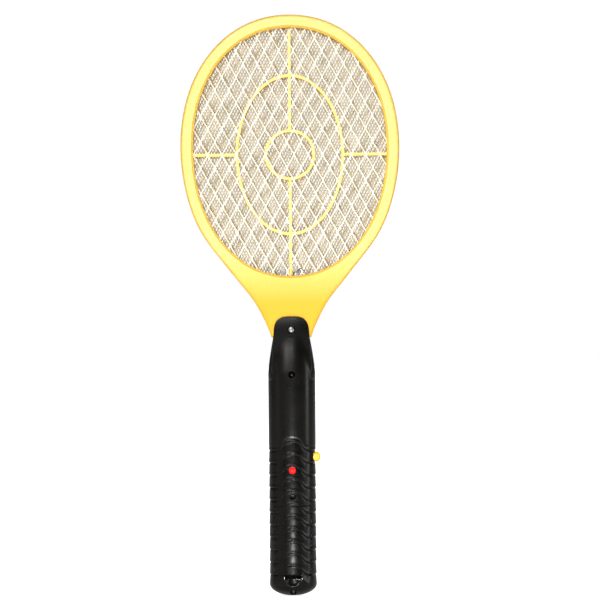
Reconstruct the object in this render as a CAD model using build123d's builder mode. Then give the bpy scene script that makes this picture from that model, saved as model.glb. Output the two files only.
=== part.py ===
from build123d import *
import os
from math import cos, pi, radians, sin, tan

os.makedirs("parts", exist_ok=True)

# Electric fly swatter, standing on its handle: +Z from the handle's end to the top of the head,
# the front (lamp and battery door) towards -Y, the push button towards +X. Millimetres.
# Heights are measured from the lower end of the handle. The origin is the middle of the grip.
TOTAL_LENGTH = 450.0
GRIP_CENTRE = 70.0
FIT = 0.1

# Head: a rim round an oval window, three meshes and two spacer grids
HEAD_CENTRE = 347.6
HEAD_HALF_WIDTH = 84.7
HEAD_LOWER_HALF_HEIGHT = 114.0
OVAL_POWER = 2.1
QUARTER = (0, 18, 36, 54, 72, 90)
WINDOW_HALF_WIDTH = 75.0
WINDOW_TOP = 440.0
WINDOW_BOTTOM = 247.6
RIM_HALF_DEPTH = 7.5
RIM_CROWN = 3.2
WINDOW_EDGE = 1.6
POCKET_GROWTH = 6.3
POCKET_DEPTH = 4.1
POCKET_OVERLAP = 1.0
INSERT_GROWTH = 6.0
NECK_END = 200.0
NECK_HALF_WIDTH = 15.3
NECK_FLARE = ((38.8, 241.3), (29.1, 228.9), (22.1, 216.5))
FLARE_START = 53.5
STEM_END = 176.0
STEM_HALF_WIDTH = 11.0
STEM_HALF_DEPTH = 5.5
STEM_SLOT_DEPTH = 12.0
STEM_SLOT_SPARE = 1.0

# Meshes of expanded aluminium: the lattice's pitch across and up, and the strand's width
OUTER_MESH_PITCH = (11.1, 20.1)
OUTER_MESH_STRAND = 0.9
OUTER_MESH_FACE = 4.05
OUTER_MESH_BACK = 3.65
MIDDLE_MESH_PITCH = (8.2, 17.2)
MIDDLE_MESH_STRAND = 0.8
MIDDLE_MESH_FACE = 0.2
MESH_OPEN_GROWTH = 1.0

# Spacer grids between the meshes
GRID_CENTRE = 341.6
GRID_RIB = 2.3
GRID_FACE = 3.6
GRID_BACK = 0.25
GRID_OVAL = (41.0, 61.3)
GRID_RING = 18.6

# Leads, the channels that carry them through the neck, and the strips they end on
LEAD_RADIUS = 0.6
BATTERY_LEAD_X = 11.2
CHANNEL_CENTRE = 6.0
CHANNEL_HALF_WIDTH = 2.5
CHANNEL_HALF_DEPTH = 0.8
CHANNEL_FAN_START = 231.0
STRIP_HALF_WIDTH = 2.0
STRIP_BOTTOM = 242.5
STRIP_LENGTH = 11.0
STRIP_THICKNESS = 0.4
STRIP_CORNER = 0.8
STRIP_NOTCH_SIDE = 0.2
MESH_LEAD_START = 151.0
FRONT_MESH_LEAD_X = 4.8
REAR_MESH_LEAD_X = 7.2
RED_LEAD_BOARD_X = -6.2
BLACK_LEAD_BOARD_X = 6.4

# Handle: an oval grip that narrows to the neck, with a tongue over the neck front and back
GRIP_HALF_WIDTH = 18.25
GRIP_HALF_DEPTH = 15.5
GRIP_END_DOME = 9.0
TAPER_START = 172.0
HANDLE_TOP = 199.8
TAPER_WIDTH = 4.0
TAPER_DEPTH = 4.8
TAPER_POWER = 1.35
WALL = 2.0
DOME_ANGLES = (8, 22, 40, 58, 74, 90)
TAPER_SECTIONS = 4
TONGUE_SIDE = ((0.0, 216.4), (8.9, 215.0), (12.6, 210.8), (13.7, 205.6), (14.3, 196.0))
TONGUE_FACE = 10.6
TONGUE_EDGE = 2.4
TONGUE_FOOT = (15.6, 174.0)
NECK_SLOT_LENGTH = 40.0

# Ridges: grooves round the grip that rise in a bell shape at the front and back
GROOVE_COUNT = 11
TOP_GROOVE = 119.4
GROOVE_PITCH = 9.59
GROOVE_RISE = 7.0
GROOVE_BELL = 12.6
GROOVE_CREST = 8.4
GROOVE_SWEEP = 7.2
GROOVE_WIDTH = 1.1
GROOVE_DEPTH = 0.7

# Screws down the middle of the handle: height, recess radius and how deep behind the axis plane
# the head's seat lies
HANDLE_SCREWS = ((206.0, 2.95, 9.0), (171.6, 2.65, 11.2), (77.6, 2.6, 5.0), (3.6, 2.5, 8.5))
SCREW_HEAD_RADIUS = 2.4
SCREW_HEAD_HEIGHT = 1.4
SCREW_SHANK_RADIUS = 1.4
SCREW_END = 9.5
SCREW_HOLE_SPARE = 0.5
SCREW_SLOT_LENGTH = 3.4
SCREW_SLOT_WIDTH = 0.6
SCREW_SLOT_DEPTH = 0.7
SCREW_SLOT_TURN = 40
BOSS_RADIUS = 3.8

# Battery bay for two AA cells side by side, and its door at the front
CELL_RADIUS = 7.1
CELL_LENGTH = 50.5
CELL_NUB_RADIUS = 2.7
CELL_NUB_HEIGHT = 1.3
CELL_CENTRE = 7.3
CELL_SPRING_LENGTH = 4.7
CELL_SPRING_RADIUS = 3.2
CELL_SPRING_WIRE = 0.35
CELL_SPRING_TURNS = 3
CONTACT_WIDTH = 9.0
CONTACT_LENGTH = 10.5
CONTACT_SHIFT = 0.4
BAY_BOTTOM = 13.4
BAY_WALL = 2.0
BAY_FRONT = 6.0
CONTACT_THICKNESS = 0.4
DOOR_GAP = 0.3
DOOR_HALF_WIDTH = 14.0
DOOR_BOTTOM = 17.3
DOOR_TOP = 70.0
DOOR_WALL = 1.8
HOOK_X = 7.7
HOOK_WIDTH = 3.4
HOOK_ROOT = (-13.0, -8.9)
HOOK_TIP = (-10.4, -8.9)
HOOK_ROOT_REACH = (66.0, 69.6)
HOOK_TIP_REACH = (68.0, 73.0)
LATCH_HALF_WIDTH = 6.4
LATCH = (-13.2, -11.6)
LATCH_REACH = (13.8, 20.3)
SLOT_DEPTH = 11.2
SLOT_HALF_WIDTH = 6.8
SLOT_BOTTOM = 13.5
THUMB_RADIUS = 7.6
THUMB_DEPTH = -20.5
THUMB_HEIGHT = 14.2

# Push button on the side, and the switch behind it
BUTTON_HEIGHT = 107.5
BUTTON_DEPTH = -1.6
BUTTON_RADIUS = 3.8
BUTTON_END = 21.7
BUTTON_FLANGE_RADIUS = 4.9
BUTTON_ROUND = 2.8
BUTTON_FLANGE = (8.2, 9.4)
BUTTON_POCKET_RADIUS = 5.2
BUTTON_POCKET_FLOOR = 11.4
BUTTON_CUP_WALL = 1.7
BUTTON_CUP_SIDE = 1.2
BUTTON_TRAVEL = 2.0
BUTTON_SPRING_RADIUS = 2.7
BUTTON_SPRING_WIRE = 0.2
BUTTON_SPRING_TURNS = 3
PLUNGER_RADIUS = 1.5
PLUNGER_START = 2.6
SWITCH_START = -1.7
SWITCH_END = 4.7
SWITCH_FRONT = -6.6
SWITCH_HALF_HEIGHT = 5.0

# Lamp
LAMP_HEIGHT = 97.8
LAMP_RADIUS = 2.5
LAMP_TIP = -17.0
LAMP_BASE = -8.4
LAMP_ROUND = 2.4
LAMP_FLANGE_RADIUS = 2.9
LAMP_FLANGE = 1.0
LAMP_LEG_X = 1.27
LAMP_LEG_WIDTH = 0.5

# Circuit board and the parts on its front face
BOARD_HALF_WIDTH = 12.5
BOARD_BOTTOM = 82.6
BOARD_TOP = 164.0
BOARD_FACE = 2.2
BOARD_BACK = 3.8
BOARD_CORNER = 1.5
BOARD_NOTCH_X = 5.6
BOARD_NOTCH_HALF_HEIGHT = 7.0
BOARD_POSTS = ((9.5, 87.0), (-9.5, 159.0))
BOARD_POST_RADIUS = 2.6
BOARD_PILOT_DEPTH = 4.5
BOARD_SCREW_SPARE = 0.5
BOARD_SCREW_RADIUS = 1.0
BOARD_SCREW_HEAD_RADIUS = 2.0
BOARD_SCREW_HEAD_HEIGHT = 1.2
TRANSFORMER_X = -1.0
TRANSFORMER_DEPTH = 3.8
TRANSFORMER_HEIGHT = 143.0
CORE_WIDTH = 17.0
CORE_LENGTH = 14.0
CORE_THICKNESS = 5.0
CORE_LEG = 4.4
CORE_WINDOW_WIDTH = 4.0
CORE_WINDOW_LENGTH = 9.4
WINDING_LENGTH = 7.6
WINDING_WIDTH = 11.2
WINDING_DEPTH = 11.0
BOBBIN_WIDTH = 12.0
BOBBIN_DEPTH = 12.0
BOBBIN_FLANGE = 0.8
BOBBIN_CORNER = 1.0

# The board's other parts: where they stand (x, height), and width, length, thickness and corner
TRANSISTOR_PLACE = (8.0, 130.0)
TRANSISTOR_SIZE = (4.6, 4.6, 5.0, 1.8)
STORAGE_CAPACITOR_PLACE = (-5.0, 119.0)
STORAGE_CAPACITOR_SIZE = (13.0, 6.5, 9.5, 1.5)
DOUBLER_CAPACITOR_PLACES = ((-8.0, 97.0), (-8.0, 104.0), (-8.0, 111.0))
DOUBLER_CAPACITOR_SIZE = (6.5, 2.8, 6.5, 1.2)
DIODE_PLACES = ((4.0, 120.5), (7.0, 120.5), (10.0, 120.5))
DIODE_SIZE = (2.2, 5.0, 2.2, 1.0)
RESISTOR_PLACES = ((-4.0, 88.0), (0.0, 88.0), (4.0, 88.0))
RESISTOR_SIZE = (2.2, 6.0, 2.2, 1.0)


def up(height):
    """The Z of a height above the handle's end."""
    return height - GRIP_CENTRE


# ---------------------------------------------------------------- outlines of the head
def oval_points(half_width, half_height, power, angles):
    """Points of a superellipse about the head's centre, at these angles from its side."""
    return [
        (
            half_width * cos(radians(angle)) ** (2 / power),
            up(HEAD_CENTRE) + half_height * sin(radians(angle)) ** (2 / power),
        )
        for angle in angles
    ]


def window(growth):
    """The oval window, grown outward by this much."""
    half_width = WINDOW_HALF_WIDTH + growth
    upper = oval_points(half_width, WINDOW_TOP - HEAD_CENTRE + growth, OVAL_POWER, QUARTER)
    lower = oval_points(half_width, WINDOW_BOTTOM - HEAD_CENTRE - growth, OVAL_POWER, QUARTER)
    with BuildSketch() as oval:
        with BuildLine():
            Spline(*upper, tangents=[(0, 1), (-1, 0)], tangent_scalars=(1, 1))
            Spline(*lower, tangents=[(0, -1), (-1, 0)], tangent_scalars=(1, 1))
            mirror(about=Plane.YZ)
        make_face()
    return oval.sketch


def head_outline():
    """The head's outside and the neck that it flares into, down to the handle."""
    crown = oval_points(HEAD_HALF_WIDTH, TOTAL_LENGTH - HEAD_CENTRE, OVAL_POWER, QUARTER)
    lower = oval_points(HEAD_HALF_WIDTH, -HEAD_LOWER_HALF_HEIGHT, 2, (0, 18, 36, FLARE_START))
    flare = [(x, up(height)) for x, height in NECK_FLARE]
    neck = (NECK_HALF_WIDTH, up(NECK_END))
    with BuildSketch() as outline:
        with BuildLine():
            Spline(*crown, tangents=[(0, 1), (-1, 0)], tangent_scalars=(1, 1))
            Spline(*lower, *flare, neck, tangents=[(0, -1), (-0.3, -1)], tangent_scalars=(1, 1))
            Line(neck, (0, up(NECK_END)))
            mirror(about=Plane.YZ)
        make_face()
    return outline.sketch


def inside_window(point, growth):
    """Whether a point (x, z) lies inside the window grown by this much."""
    across = abs(point[0]) / (WINDOW_HALF_WIDTH + growth)
    rise = point[1] - up(HEAD_CENTRE)
    reach = (WINDOW_TOP - HEAD_CENTRE if rise > 0 else HEAD_CENTRE - WINDOW_BOTTOM) + growth
    return across**OVAL_POWER + (abs(rise) / reach) ** OVAL_POWER < 1


def expanded_mesh(pitch, strand):
    """A mesh's face: a solid margin, and diamond openings in offset rows inside the window."""
    half_across, half_up = pitch[0] / 2, pitch[1] / 2
    diagonal = (half_across**2 + half_up**2) ** 0.5
    shrink = 1 - strand / 2 * diagonal / (half_across * half_up)
    corners = (
        (half_across * shrink, 0),
        (0, half_up * shrink),
        (-half_across * shrink, 0),
        (0, -half_up * shrink),
    )
    opened = window(MESH_OPEN_GROWTH).face()
    columns = int(WINDOW_HALF_WIDTH / half_across) + 2
    rows = int((WINDOW_TOP - WINDOW_BOTTOM) / 2 / half_up) + 2
    openings = []
    for column in range(-columns, columns + 1):
        for row in range(-rows, rows + 1):
            if (column + row) % 2:
                continue
            middle = (column * half_across, up(HEAD_CENTRE) + row * half_up)
            points = [(middle[0] + x, middle[1] + z) for x, z in corners]
            within = [inside_window(point, MESH_OPEN_GROWTH) for point in points]
            outline = Wire.make_polygon(points, close=True)
            if all(within):
                openings.append(outline)
            elif any(within):
                cut = Face(outline) & opened
                openings += [piece.outer_wire() for piece in cut.faces()] if cut else []
    return Face(window(INSERT_GROWTH).face().outer_wire(), openings)


# ---------------------------------------------------------------- head frame
with BuildPart() as front_frame:
    with BuildSketch(Plane.XZ):
        add(head_outline())
    extrude(amount=RIM_HALF_DEPTH)
    fillet(front_frame.edges().group_by(Axis.Y)[0], RIM_CROWN)
    with BuildSketch(Plane.XZ):
        add(window(0))
    extrude(amount=RIM_HALF_DEPTH, mode=Mode.SUBTRACT)
    # the window's edge slopes in from the crown
    with BuildSketch(Plane.XZ.offset(RIM_HALF_DEPTH - WINDOW_EDGE)):
        add(window(0))
    with BuildSketch(Plane.XZ.offset(RIM_HALF_DEPTH)):
        add(window(WINDOW_EDGE))
    loft(ruled=True, mode=Mode.SUBTRACT)
    with BuildSketch(Plane.XZ):
        add(window(POCKET_GROWTH))
    extrude(amount=POCKET_DEPTH, mode=Mode.SUBTRACT)
    # the stem that goes into the handle
    with BuildSketch(Plane.XZ):
        with Locations((0, up((STEM_END + NECK_END) / 2))):
            Rectangle(2 * STEM_HALF_WIDTH, NECK_END - STEM_END)
    extrude(amount=STEM_HALF_DEPTH)
    # channels for the leads, deeper where the leads fan out to their meshes
    pocket_bottom = WINDOW_BOTTOM - POCKET_GROWTH + POCKET_OVERLAP
    with BuildSketch(Plane.XZ):
        with Locations(
            (-CHANNEL_CENTRE, up((STEM_END + pocket_bottom) / 2)),
            (CHANNEL_CENTRE, up((STEM_END + pocket_bottom) / 2)),
        ):
            Rectangle(2 * CHANNEL_HALF_WIDTH, pocket_bottom - STEM_END)
    extrude(amount=CHANNEL_HALF_DEPTH, mode=Mode.SUBTRACT)
    with BuildSketch(Plane.XZ):
        with Locations(
            (-CHANNEL_CENTRE, up((CHANNEL_FAN_START + pocket_bottom) / 2)),
            (CHANNEL_CENTRE, up((CHANNEL_FAN_START + pocket_bottom) / 2)),
        ):
            Rectangle(2 * CHANNEL_HALF_WIDTH, pocket_bottom - CHANNEL_FAN_START)
    extrude(amount=GRID_FACE, mode=Mode.SUBTRACT)
    # clearance for the top handle screw
    with BuildSketch(Plane.XZ):
        with Locations((0, up(HANDLE_SCREWS[0][0]))):
            Circle(SCREW_SHANK_RADIUS)
    extrude(amount=RIM_HALF_DEPTH, mode=Mode.SUBTRACT)

with BuildPart() as rear_frame:
    mirror(front_frame.part, about=Plane.XZ)


# ---------------------------------------------------------------- meshes
outer_mesh_face = expanded_mesh(OUTER_MESH_PITCH, OUTER_MESH_STRAND)

with BuildPart() as front_mesh:
    with BuildSketch(Plane.XZ.offset(OUTER_MESH_BACK)):
        add(outer_mesh_face)
    extrude(amount=OUTER_MESH_FACE - OUTER_MESH_BACK)

with BuildPart() as rear_mesh:
    mirror(front_mesh.part, about=Plane.XZ)

with BuildPart() as middle_mesh:
    with BuildSketch(Plane.XZ.offset(-MIDDLE_MESH_FACE)):
        add(expanded_mesh(MIDDLE_MESH_PITCH, MIDDLE_MESH_STRAND))
    extrude(amount=2 * MIDDLE_MESH_FACE)

# ---------------------------------------------------------------- spacer grids
with BuildPart() as front_spacer_grid:
    with BuildSketch(Plane.XZ.offset(GRID_BACK)):
        add(window(INSERT_GROWTH))
        add(window(0), mode=Mode.SUBTRACT)
    extrude(amount=GRID_FACE - GRID_BACK)
    with BuildSketch(Plane.XZ.offset(GRID_BACK)):
        with Locations((0, up(GRID_CENTRE))):
            Ellipse(GRID_OVAL[0] + GRID_RIB / 2, GRID_OVAL[1] + GRID_RIB / 2)
            Ellipse(GRID_OVAL[0] - GRID_RIB / 2, GRID_OVAL[1] - GRID_RIB / 2, mode=Mode.SUBTRACT)
            Circle(GRID_RING + GRID_RIB / 2)
    extrude(amount=GRID_FACE - GRID_BACK)
    # spokes: up and down from the ring to the hoop, and sideways from the oval to the hoop
    spoke_top = WINDOW_TOP + INSERT_GROWTH / 2
    spoke_bottom = WINDOW_BOTTOM - INSERT_GROWTH / 2
    side_end = WINDOW_HALF_WIDTH + INSERT_GROWTH / 2
    side_middle = (GRID_OVAL[0] + side_end) / 2
    with BuildSketch(Plane.XZ.offset(GRID_BACK)):
        with Locations((0, up((spoke_top + spoke_bottom) / 2))):
            Rectangle(GRID_RIB, spoke_top - spoke_bottom)
        with Locations((-side_middle, up(GRID_CENTRE)), (side_middle, up(GRID_CENTRE))):
            Rectangle(side_end - GRID_OVAL[0], GRID_RIB)
    extrude(amount=GRID_FACE - GRID_BACK)
    with BuildSketch(Plane.XZ.offset(GRID_BACK)):
        with Locations((0, up(GRID_CENTRE))):
            Circle(GRID_RING - GRID_RIB / 2)
        # notches in the hoop for the leads and the strips that they end on
        with Locations(
            (-CHANNEL_CENTRE, up(WINDOW_BOTTOM - INSERT_GROWTH / 2)),
            (CHANNEL_CENTRE, up(WINDOW_BOTTOM - INSERT_GROWTH / 2)),
        ):
            Rectangle(
                2 * (CHANNEL_HALF_WIDTH + STRIP_NOTCH_SIDE),
                INSERT_GROWTH + 2 * POCKET_OVERLAP,
            )
    extrude(amount=GRID_FACE - GRID_BACK, mode=Mode.SUBTRACT)

with BuildPart() as rear_spacer_grid:
    mirror(front_spacer_grid.part, about=Plane.XZ)

# ---------------------------------------------------------------- strips on the meshes
strip_height = up(STRIP_BOTTOM + STRIP_LENGTH / 2)

with BuildPart() as front_mesh_terminal:
    with BuildSketch(Plane.XZ.offset(OUTER_MESH_BACK - STRIP_THICKNESS)):
        with Locations((CHANNEL_CENTRE, strip_height)):
            RectangleRounded(2 * STRIP_HALF_WIDTH, STRIP_LENGTH, STRIP_CORNER)
    extrude(amount=STRIP_THICKNESS)

with BuildPart() as rear_mesh_terminal:
    mirror(front_mesh_terminal.part, about=Plane.XZ)

with BuildPart() as middle_mesh_terminal:
    with BuildSketch(Plane.XZ.offset(MIDDLE_MESH_FACE)):
        with Locations((-CHANNEL_CENTRE, strip_height)):
            RectangleRounded(2 * STRIP_HALF_WIDTH, STRIP_LENGTH, STRIP_CORNER)
    extrude(amount=STRIP_THICKNESS)


# ---------------------------------------------------------------- handle
def oval_at(height):
    """The handle's half width and half depth at a height."""
    rise = max(0, (height - TAPER_START) / (HANDLE_TOP - TAPER_START)) ** TAPER_POWER
    return GRIP_HALF_WIDTH - TAPER_WIDTH * rise, GRIP_HALF_DEPTH - TAPER_DEPTH * rise


def grip_solid(inset, top):
    """The handle's oval body with its domed end, drawn this much inside its outer surface."""
    dome = GRIP_END_DOME - inset
    with BuildPart() as body:
        for angle in DOME_ANGLES:
            with BuildSketch(Plane.XY.offset(up(GRIP_END_DOME - dome * cos(radians(angle))))):
                Ellipse(
                    (GRIP_HALF_WIDTH - inset) * sin(radians(angle)),
                    (GRIP_HALF_DEPTH - inset) * sin(radians(angle)),
                )
        loft()
        with BuildSketch(Plane.XY.offset(up(GRIP_END_DOME))):
            Ellipse(GRIP_HALF_WIDTH - inset, GRIP_HALF_DEPTH - inset)
        extrude(amount=TAPER_START - GRIP_END_DOME)
        for section in range(TAPER_SECTIONS + 1):
            height = TAPER_START + (top - TAPER_START) * section / TAPER_SECTIONS
            half_width, half_depth = oval_at(height)
            with BuildSketch(Plane.XY.offset(up(height))):
                Ellipse(half_width - inset, half_depth - inset)
        loft()
    return body.part


def groove_line(centre, offset):
    """One edge of a groove seen from the front: level at the sides, a bell in the middle."""
    side = GRIP_HALF_WIDTH + 2
    foot = centre - GROOVE_RISE + offset
    peak = centre + offset
    Polyline((-side, foot), (-GROOVE_BELL, foot))
    Bezier((-GROOVE_BELL, foot), (-GROOVE_SWEEP, foot), (-GROOVE_CREST, peak), (0, peak))
    Bezier((0, peak), (GROOVE_CREST, peak), (GROOVE_SWEEP, foot), (GROOVE_BELL, foot))
    Polyline((GROOVE_BELL, foot), (side, foot))
    return (-side, foot), (side, foot)


handle_outside = grip_solid(0, HANDLE_TOP)

with BuildPart() as grooves:
    with BuildSketch(Plane.XZ) as bands:
        for groove in range(GROOVE_COUNT):
            with BuildLine():
                height = up(TOP_GROOVE - groove * GROOVE_PITCH)
                upper_ends = groove_line(height, GROOVE_WIDTH / 2)
                lower_ends = groove_line(height, -GROOVE_WIDTH / 2)
                Line(upper_ends[0], lower_ends[0])
                Line(upper_ends[1], lower_ends[1])
            make_face()
    extrude(amount=GRIP_HALF_DEPTH + 1, both=True)
    add(grip_solid(GROOVE_DEPTH, HANDLE_TOP), mode=Mode.SUBTRACT)

# The hollow of the handle: what is left out of it stands as bosses, walls and posts.
with BuildPart() as hollow:
    add(grip_solid(WALL, HANDLE_TOP - WALL))
    with BuildSketch(Plane.XZ):
        with Locations(*[(0, up(screw[0])) for screw in HANDLE_SCREWS[1:]]):
            Circle(BOSS_RADIUS)
    extrude(amount=GRIP_HALF_DEPTH, both=True, mode=Mode.SUBTRACT)
    # the battery bay's lower wall, right across, and its upper wall, clear of the door's hooks
    bay_top = BAY_BOTTOM + 2 * CONTACT_THICKNESS + CELL_LENGTH + CELL_SPRING_LENGTH
    with Locations((0, 0, up(BAY_BOTTOM - BAY_WALL / 2))):
        Box(2 * GRIP_HALF_WIDTH, 2 * GRIP_HALF_DEPTH, BAY_WALL, mode=Mode.SUBTRACT)
    with Locations((0, GRIP_HALF_DEPTH / 2, up(bay_top + BAY_WALL / 2))):
        Box(2 * GRIP_HALF_WIDTH, GRIP_HALF_DEPTH + 2 * BAY_FRONT, BAY_WALL, mode=Mode.SUBTRACT)
    # posts for the circuit board
    with BuildSketch(Plane.XZ.offset(-BOARD_BACK)):
        with Locations(*[(x, up(height)) for x, height in BOARD_POSTS]):
            Circle(BOARD_POST_RADIUS)
    extrude(amount=-GRIP_HALF_DEPTH, mode=Mode.SUBTRACT)
    # the cup behind the push button
    with BuildSketch(Plane.YZ.offset(BUTTON_POCKET_FLOOR - BUTTON_CUP_WALL)):
        with Locations((BUTTON_DEPTH, up(BUTTON_HEIGHT))):
            Circle(BUTTON_POCKET_RADIUS + BUTTON_CUP_SIDE)
    extrude(amount=GRIP_HALF_WIDTH, mode=Mode.SUBTRACT)

# the tongues that lie over the neck, front and back
with BuildPart() as tongues:
    with BuildSketch(Plane.XZ.offset(-TONGUE_FACE)):
        with BuildLine():
            side = [(x, up(height)) for x, height in TONGUE_SIDE]
            Spline(*side, tangents=[(1, 0), (0.06, -1)], tangent_scalars=(1, 1))
            foot = (TONGUE_FOOT[0], up(TONGUE_FOOT[1]))
            Polyline(side[-1], foot, (0, foot[1]))
            mirror(about=Plane.YZ)
        make_face()
    extrude(amount=2 * TONGUE_FACE)
    faces_out = tongues.edges().group_by(Axis.Y)
    fillet(faces_out[0] + faces_out[-1], TONGUE_EDGE)
    with BuildSketch(Plane.XZ.offset(-RIM_HALF_DEPTH)):
        with Locations((0, up(HANDLE_TOP + NECK_SLOT_LENGTH / 2))):
            Rectangle(2 * GRIP_HALF_WIDTH, NECK_SLOT_LENGTH)
    extrude(amount=2 * RIM_HALF_DEPTH, mode=Mode.SUBTRACT)

with BuildPart() as handle:
    add(handle_outside)
    add(tongues.part)
    add(hollow.part, mode=Mode.SUBTRACT)
    # the slot for the neck's stem
    with Locations((0, 0, up(HANDLE_TOP - STEM_SLOT_DEPTH / 2 + STEM_SLOT_SPARE))):
        Box(
            2 * (STEM_HALF_WIDTH + FIT),
            2 * (STEM_HALF_DEPTH + FIT),
            STEM_SLOT_DEPTH,
            mode=Mode.SUBTRACT,
        )
    # screw recesses from the front, and screw holes into the rear half
    for height, recess_radius, seat in HANDLE_SCREWS:
        with BuildSketch(Plane.XZ.offset(seat)):
            with Locations((0, up(height))):
                Circle(recess_radius)
        extrude(amount=GRIP_HALF_DEPTH, mode=Mode.SUBTRACT)
        with BuildSketch(Plane.XZ.offset(-SCREW_END - SCREW_HOLE_SPARE)):
            with Locations((0, up(height))):
                Circle(SCREW_SHANK_RADIUS)
        extrude(amount=2 * GRIP_HALF_DEPTH, mode=Mode.SUBTRACT)
    # pilot holes in the board posts
    with BuildSketch(Plane.XZ.offset(-BOARD_BACK - BOARD_PILOT_DEPTH)):
        with Locations(*[(x, up(height)) for x, height in BOARD_POSTS]):
            Circle(BOARD_SCREW_RADIUS)
    extrude(amount=BOARD_PILOT_DEPTH, mode=Mode.SUBTRACT)
    # holes in the bay's upper wall for the battery leads
    with BuildSketch(Plane.XY.offset(up(bay_top))):
        with Locations((-BATTERY_LEAD_X, 0), (BATTERY_LEAD_X, 0)):
            Circle(LEAD_RADIUS + FIT)
    extrude(amount=BAY_WALL, mode=Mode.SUBTRACT)
    # the lamp's hole
    with BuildSketch(Plane.XZ.offset(-LAMP_BASE)):
        with Locations((0, up(LAMP_HEIGHT))):
            Circle(LAMP_RADIUS)
    extrude(amount=GRIP_HALF_DEPTH, mode=Mode.SUBTRACT)
    # the push button's pocket and hole
    with BuildSketch(Plane.YZ.offset(BUTTON_POCKET_FLOOR)):
        with Locations((BUTTON_DEPTH, up(BUTTON_HEIGHT))):
            Circle(BUTTON_POCKET_RADIUS)
    extrude(amount=GRIP_HALF_WIDTH, mode=Mode.SUBTRACT)
    with BuildSketch(Plane.YZ.offset(BUTTON_FLANGE[0])):
        with Locations((BUTTON_DEPTH, up(BUTTON_HEIGHT))):
            Circle(BUTTON_RADIUS + DOOR_GAP)
    extrude(amount=GRIP_HALF_WIDTH, mode=Mode.SUBTRACT)
    # the battery door's opening, and the slot and thumb scoop below it
    with BuildSketch(Plane.XZ.offset(BAY_FRONT)):
        with Locations((0, up((DOOR_BOTTOM + DOOR_TOP) / 2))):
            Rectangle(
                2 * (DOOR_HALF_WIDTH + DOOR_GAP),
                DOOR_TOP - DOOR_BOTTOM + 2 * DOOR_GAP,
            )
    extrude(amount=GRIP_HALF_DEPTH, mode=Mode.SUBTRACT)
    with BuildSketch(Plane.XZ.offset(SLOT_DEPTH)):
        with Locations((0, up((SLOT_BOTTOM + DOOR_BOTTOM) / 2))):
            Rectangle(2 * SLOT_HALF_WIDTH, DOOR_BOTTOM - SLOT_BOTTOM)
    extrude(amount=GRIP_HALF_DEPTH, mode=Mode.SUBTRACT)
    with Locations((0, THUMB_DEPTH, up(THUMB_HEIGHT))):
        Sphere(THUMB_RADIUS, mode=Mode.SUBTRACT)
    add(grooves.part, mode=Mode.SUBTRACT)

with BuildPart() as front_handle_shell:
    add(handle.part)
    split(bisect_by=Plane.XZ, keep=Keep.TOP)

with BuildPart() as rear_handle_shell:
    add(handle.part)
    split(bisect_by=Plane.XZ, keep=Keep.BOTTOM)

# ---------------------------------------------------------------- battery door
def inner_block(x, width, depths, reach):
    """A block inside the door, between two depths and two heights."""
    with Locations((x, sum(depths) / 2, up(sum(reach) / 2))):
        Box(width, depths[1] - depths[0], reach[1] - reach[0])


with BuildPart() as battery_door:
    add(handle_outside)
    add(grip_solid(DOOR_WALL, HANDLE_TOP), mode=Mode.SUBTRACT)
    with BuildSketch(Plane.XZ.offset(BAY_FRONT)):
        with Locations((0, up((DOOR_BOTTOM + DOOR_TOP) / 2))):
            Rectangle(2 * DOOR_HALF_WIDTH, DOOR_TOP - DOOR_BOTTOM)
    extrude(amount=GRIP_HALF_DEPTH, mode=Mode.INTERSECT)
    # hooks that reach up behind the shell, and the latch tab that reaches down behind the slot
    for side in (-1, 1):
        inner_block(side * HOOK_X, HOOK_WIDTH, HOOK_ROOT, HOOK_ROOT_REACH)
        inner_block(side * HOOK_X, HOOK_WIDTH, HOOK_TIP, HOOK_TIP_REACH)
    inner_block(0, 2 * LATCH_HALF_WIDTH, LATCH, LATCH_REACH)
    add(grooves.part, mode=Mode.SUBTRACT)

# ---------------------------------------------------------------- screws
with BuildPart() as handle_screws:
    for height, _, seat in HANDLE_SCREWS:
        with BuildSketch(Plane.XZ.offset(seat)):
            with Locations((0, up(height))):
                Circle(SCREW_HEAD_RADIUS)
        extrude(amount=SCREW_HEAD_HEIGHT)
        with BuildSketch(Plane.XZ.offset(-SCREW_END)):
            with Locations((0, up(height))):
                Circle(SCREW_SHANK_RADIUS)
        extrude(amount=SCREW_END + seat)
        # the cross slot
        with BuildSketch(Plane.XZ.offset(seat + SCREW_HEAD_HEIGHT - SCREW_SLOT_DEPTH)):
            with Locations((0, up(height))):
                Rectangle(SCREW_SLOT_LENGTH, SCREW_SLOT_WIDTH, rotation=SCREW_SLOT_TURN)
                Rectangle(SCREW_SLOT_WIDTH, SCREW_SLOT_LENGTH, rotation=SCREW_SLOT_TURN)
        extrude(amount=SCREW_SLOT_DEPTH, mode=Mode.SUBTRACT)

with BuildPart() as board_screws:
    for x, height in BOARD_POSTS:
        with BuildSketch(Plane.XZ.offset(-BOARD_FACE)):
            with Locations((x, up(height))):
                Circle(BOARD_SCREW_HEAD_RADIUS)
        extrude(amount=BOARD_SCREW_HEAD_HEIGHT)
        with BuildSketch(Plane.XZ.offset(-BOARD_FACE)):
            with Locations((x, up(height))):
                Circle(BOARD_SCREW_RADIUS)
        extrude(amount=BOARD_FACE - BOARD_BACK - BOARD_PILOT_DEPTH + BOARD_SCREW_SPARE)

# ---------------------------------------------------------------- push button and its switch
button_place = (BUTTON_DEPTH, up(BUTTON_HEIGHT))


def side_disc(start, end, radius):
    """A round length of the push button's line, from one X to another."""
    with BuildPart() as disc:
        with BuildSketch(Plane.YZ.offset(start)):
            with Locations(button_place):
                Circle(radius)
        extrude(amount=end - start)
    return disc.part


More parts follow.
